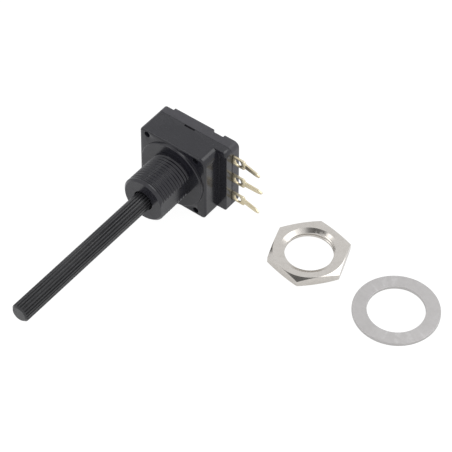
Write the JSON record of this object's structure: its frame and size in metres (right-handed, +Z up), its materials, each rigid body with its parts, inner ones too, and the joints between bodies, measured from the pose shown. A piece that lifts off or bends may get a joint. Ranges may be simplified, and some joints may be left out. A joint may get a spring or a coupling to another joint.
{
  "type": "rotary encoder",
  "caption": "Panel-mount rotary encoder: square body, threaded bushing with flats, long splined shaft, row of eyelet solder terminals, with its hex nut and washer.",
  "frame": {"origin": "centre of the front housing's underside, below the shaft axis; Z = 0 is the surface that the body, the nut and the washer lie on", "axes": "the shaft points along -Y, the terminals point along +X towards the nut and the washer, +Z is up"},
  "size_m": [0.0676, 0.0576, 0.0158],
  "materials": {
    "housing_plastic": "fine moulded grain, black",
    "cover_plastic": "fine moulded grain, black with a cool tint",
    "shaft_plastic": "satin moulded black",
    "inner_plastic": "natural acetal",
    "phenolic_board": "phenolic laminate",
    "seal_rubber": "greased rubber",
    "spring_steel": "polished spring steel",
    "contact_bronze": "rolled phosphor bronze",
    "terminal_gold": "pale gold plate over stamped brass",
    "nut_nickel": "bright nickel plate over turned brass",
    "washer_steel": "satin nickel plate, blanked edges"
  },
  "bodies": {
    "case": {"front_housing": "housing_plastic", "rear_cover": "cover_plastic", "assembly_pin_1": "housing_plastic", "assembly_pin_2": "housing_plastic", "assembly_pin_3": "housing_plastic", "assembly_pin_4": "housing_plastic", "thrust_washer": "spring_steel", "detent_spring": "spring_steel", "contact_plate": "phenolic_board", "track_common": "contact_bronze", "track_a": "contact_bronze", "track_b": "contact_bronze", "terminal_a": "terminal_gold", "terminal_common": "terminal_gold", "terminal_b": "terminal_gold", "mounting_nut": "nut_nickel", "mounting_washer": "washer_steel"},
    "rotor": {"shaft": "shaft_plastic", "shaft_seal": "seal_rubber", "detent_wheel": "inner_plastic", "contact_carrier": "inner_plastic", "contact_wiper": "contact_bronze"},
    "ball": {"detent_ball": "spring_steel"}
  },
  "joints": [
    {"name": "shaft_turn", "type": "hinge", "parent": "case", "child": "rotor", "pos_m": [0, 0, 0.0079], "axis": [0, 1, 0], "continuous": true},
    {"name": "ball_slide", "type": "slide", "parent": "case", "child": "ball", "axis": [0, 0, -1], "range_m": [0, 0.0002], "stiffness_N_per_m": 400, "deforming": ["detent_spring"]}
  ]
}
